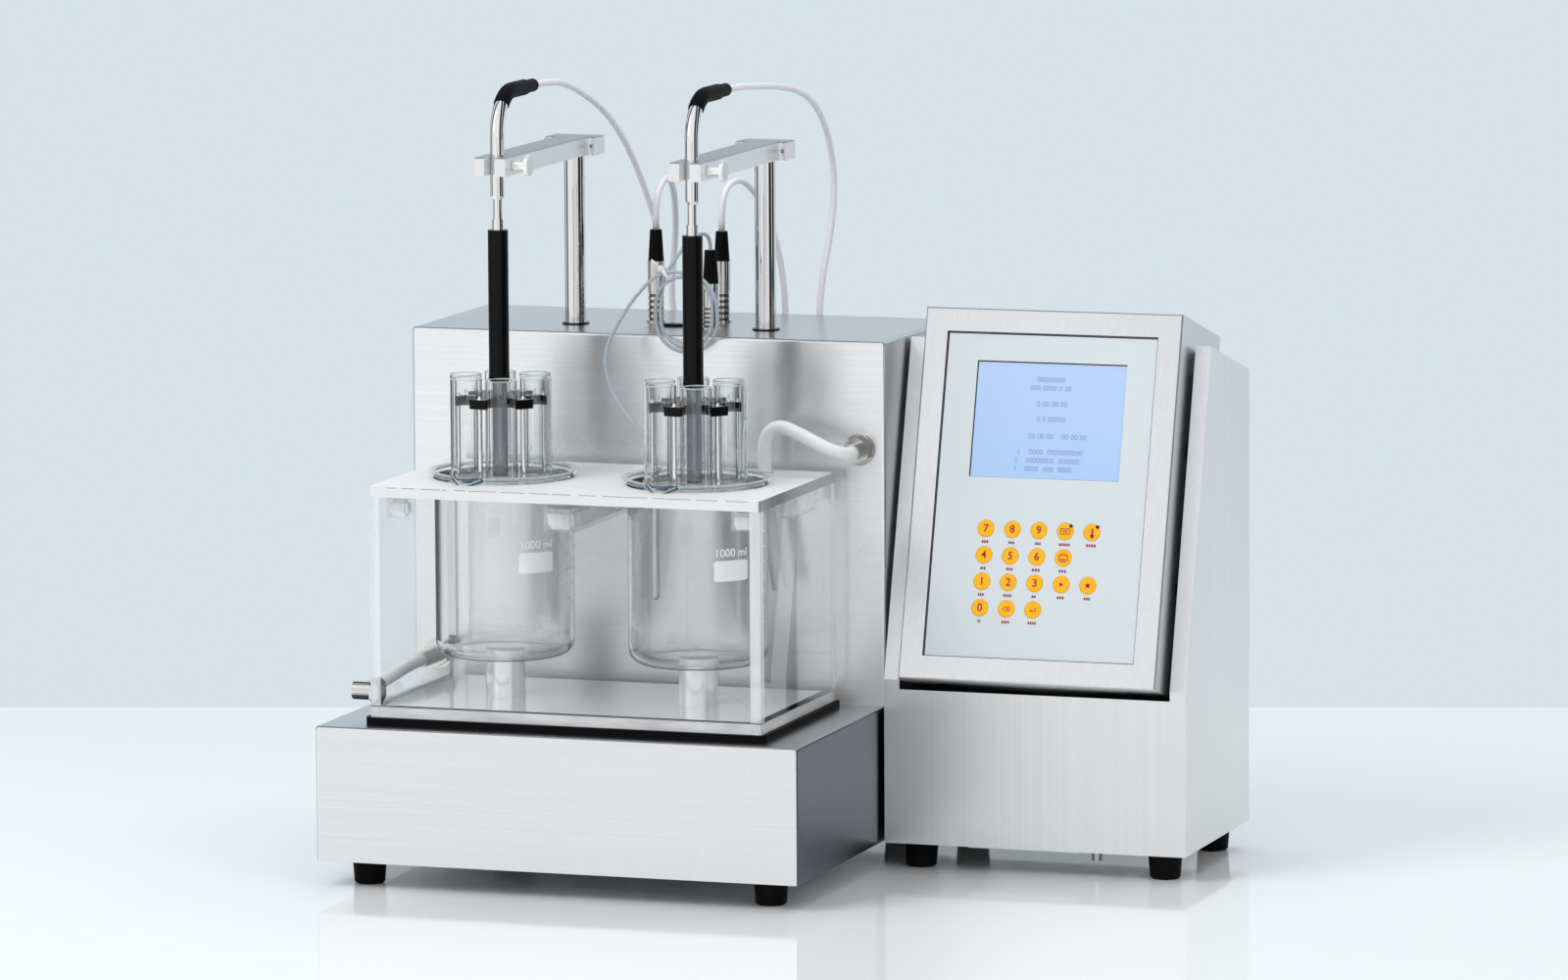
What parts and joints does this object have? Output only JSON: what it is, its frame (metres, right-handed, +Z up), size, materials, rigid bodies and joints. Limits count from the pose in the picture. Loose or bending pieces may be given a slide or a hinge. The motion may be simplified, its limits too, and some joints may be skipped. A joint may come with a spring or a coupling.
{
  "type": "tablet disintegration tester",
  "caption": "Bench disintegration tester: motor-lifted basket racks over beakers in a clear heated bath, with a tilted keypad unit.",
  "frame": {"origin": "on the floor, under the middle of the two housings' footprint", "axes": "+X to the user's right, +Y to the back, +Z up"},
  "size_m": [0.619, 0.4182, 0.596],
  "materials": {
    "brushed_steel": "brushed",
    "plain_steel": "plain sheet",
    "chrome": "polished",
    "ground_steel": "ground",
    "nickel": "nickel plated",
    "aluminium": "satin anodised",
    "black_rubber": "matt",
    "black_plastic": "satin",
    "glass": "clear",
    "acrylic": "clear acrylic",
    "white_acrylic": "gloss",
    "silicone": "translucent silicone",
    "cable_grey": "smooth",
    "sensor_grey": "smooth",
    "keypad_foil": "satin foil",
    "key_amber": "satin",
    "display": "lit panel",
    "motor_black": "satin",
    "board_green": "solder mask"
  },
  "bodies": {
    "tester": {"base_housing": "brushed_steel", "bottom_plates": "plain_steel", "housing_feet": "black_rubber", "tower_housing": "brushed_steel", "rear_covers": "plain_steel", "bath_mat": "black_rubber", "water_bath": "acrylic", "bath_lid": "white_acrylic", "beaker_left": "glass", "beaker_right": "glass", "tower_inserts": "black_plastic", "lift_drive": "motor_black", "water_circulator": "motor_black", "temperature_probe": "ground_steel", "cable_plugs": "nickel", "basket_cables": "cable_grey", "sensor_coil": "sensor_grey", "sensor_cable": "sensor_grey", "water_hoses": "silicone", "hose_fittings": "nickel", "control_housing": "brushed_steel", "head_housing": "brushed_steel", "keypad_panel": "keypad_foil", "display_window": "display", "power_inlet": "black_plastic", "control_board": "board_green"},
    "lift_left": {"lift_post_left": "ground_steel", "lift_arm_left": "aluminium", "hanger_rod_left": "chrome", "hanger_sleeves_left": "black_plastic", "basket_plates_left": "black_plastic", "basket_tubes_left": "glass"},
    "screw_left": {"lead_screw_left": "ground_steel"},
    "knob_left": {"arm_knob_left": "nickel"},
    "lift_right": {"lift_post_right": "ground_steel", "lift_arm_right": "aluminium", "hanger_rod_right": "chrome", "hanger_sleeves_right": "black_plastic", "basket_plates_right": "black_plastic", "basket_tubes_right": "glass"},
    "screw_right": {"lead_screw_right": "ground_steel"},
    "knob_right": {"arm_knob_right": "nickel"},
    "rocker": {"rocker_switch": "black_plastic"},
    "pressed_7": {"key_7": "key_amber"},
    "pressed_8": {"key_8": "key_amber"},
    "pressed_9": {"key_9": "key_amber"},
    "pressed_remote": {"key_remote": "key_amber"},
    "pressed_heater": {"key_heater": "key_amber"},
    "pressed_4": {"key_4": "key_amber"},
    "pressed_5": {"key_5": "key_amber"},
    "pressed_6": {"key_6": "key_amber"},
    "pressed_print": {"key_print": "key_amber"},
    "pressed_1": {"key_1": "key_amber"},
    "pressed_2": {"key_2": "key_amber"},
    "pressed_3": {"key_3": "key_amber"},
    "pressed_start": {"key_start": "key_amber"},
    "pressed_stop": {"key_stop": "key_amber"},
    "pressed_0": {"key_0": "key_amber"},
    "pressed_clear": {"key_clear": "key_amber"},
    "pressed_enter": {"key_enter": "key_amber"}
  },
  "joints": [
    {"name": "lift_left", "type": "slide", "parent": "tester", "child": "lift_left", "axis": [0, 0, 1], "range_m": [-0.105, 0]},
    {"name": "screw_left", "type": "hinge", "parent": "tester", "child": "screw_left", "pos_m": [-0.1965, 0.081, 0.13], "axis": [0, 0, 1], "range_deg": [-3790, 10]},
    {"name": "knob_left", "type": "hinge", "parent": "lift_left", "child": "knob_left", "pos_m": [-0.1765, -0.089, 0.5365], "axis": [1, 0, 0], "range_deg": [0, 360]},
    {"name": "lift_right", "type": "slide", "parent": "tester", "child": "lift_right", "axis": [0, 0, 1], "range_m": [-0.105, 0]},
    {"name": "screw_right", "type": "hinge", "parent": "tester", "child": "screw_right", "pos_m": [-0.0425, 0.081, 0.13], "axis": [0, 0, 1], "range_deg": [-3790, 10]},
    {"name": "knob_right", "type": "hinge", "parent": "lift_right", "child": "knob_right", "pos_m": [-0.0225, -0.089, 0.5365], "axis": [1, 0, 0], "range_deg": [0, 360]},
    {"name": "rocker", "type": "hinge", "parent": "tester", "child": "rocker", "pos_m": [0.2505, 0.1825, 0.085], "axis": [1, 0, 0], "range_deg": [-10, 10]},
    {"name": "key_7", "type": "slide", "parent": "tester", "child": "pressed_7", "axis": [0, 0.9632, -0.2689], "range_m": [0, 0.0004], "stiffness_N_per_m": 1500},
    {"name": "key_8", "type": "slide", "parent": "tester", "child": "pressed_8", "axis": [0, 0.9632, -0.2689], "range_m": [0, 0.0004], "stiffness_N_per_m": 1500},
    {"name": "key_9", "type": "slide", "parent": "tester", "child": "pressed_9", "axis": [0, 0.9632, -0.2689], "range_m": [0, 0.0004], "stiffness_N_per_m": 1500},
    {"name": "key_remote", "type": "slide", "parent": "tester", "child": "pressed_remote", "axis": [0, 0.9632, -0.2689], "range_m": [0, 0.0004], "stiffness_N_per_m": 1500},
    {"name": "key_heater", "type": "slide", "parent": "tester", "child": "pressed_heater", "axis": [0, 0.9632, -0.2689], "range_m": [0, 0.0004], "stiffness_N_per_m": 1500},
    {"name": "key_4", "type": "slide", "parent": "tester", "child": "pressed_4", "axis": [0, 0.9632, -0.2689], "range_m": [0, 0.0004], "stiffness_N_per_m": 1500},
    {"name": "key_5", "type": "slide", "parent": "tester", "child": "pressed_5", "axis": [0, 0.9632, -0.2689], "range_m": [0, 0.0004], "stiffness_N_per_m": 1500},
    {"name": "key_6", "type": "slide", "parent": "tester", "child": "pressed_6", "axis": [0, 0.9632, -0.2689], "range_m": [0, 0.0004], "stiffness_N_per_m": 1500},
    {"name": "key_print", "type": "slide", "parent": "tester", "child": "pressed_print", "axis": [0, 0.9632, -0.2689], "range_m": [0, 0.0004], "stiffness_N_per_m": 1500},
    {"name": "key_1", "type": "slide", "parent": "tester", "child": "pressed_1", "axis": [0, 0.9632, -0.2689], "range_m": [0, 0.0004], "stiffness_N_per_m": 1500},
    {"name": "key_2", "type": "slide", "parent": "tester", "child": "pressed_2", "axis": [0, 0.9632, -0.2689], "range_m": [0, 0.0004], "stiffness_N_per_m": 1500},
    {"name": "key_3", "type": "slide", "parent": "tester", "child": "pressed_3", "axis": [0, 0.9632, -0.2689], "range_m": [0, 0.0004], "stiffness_N_per_m": 1500},
    {"name": "key_start", "type": "slide", "parent": "tester", "child": "pressed_start", "axis": [0, 0.9632, -0.2689], "range_m": [0, 0.0004], "stiffness_N_per_m": 1500},
    {"name": "key_stop", "type": "slide", "parent": "tester", "child": "pressed_stop", "axis": [0, 0.9632, -0.2689], "range_m": [0, 0.0004], "stiffness_N_per_m": 1500},
    {"name": "key_0", "type": "slide", "parent": "tester", "child": "pressed_0", "axis": [0, 0.9632, -0.2689], "range_m": [0, 0.0004], "stiffness_N_per_m": 1500},
    {"name": "key_clear", "type": "slide", "parent": "tester", "child": "pressed_clear", "axis": [0, 0.9632, -0.2689], "range_m": [0, 0.0004], "stiffness_N_per_m": 1500},
    {"name": "key_enter", "type": "slide", "parent": "tester", "child": "pressed_enter", "axis": [0, 0.9632, -0.2689], "range_m": [0, 0.0004], "stiffness_N_per_m": 1500}
  ],
  "couplings": [
    {"joint": "screw_left", "follows": "lift_left", "rad_per_m": 628.32},
    {"joint": "screw_right", "follows": "lift_right", "rad_per_m": 628.32}
  ]
}
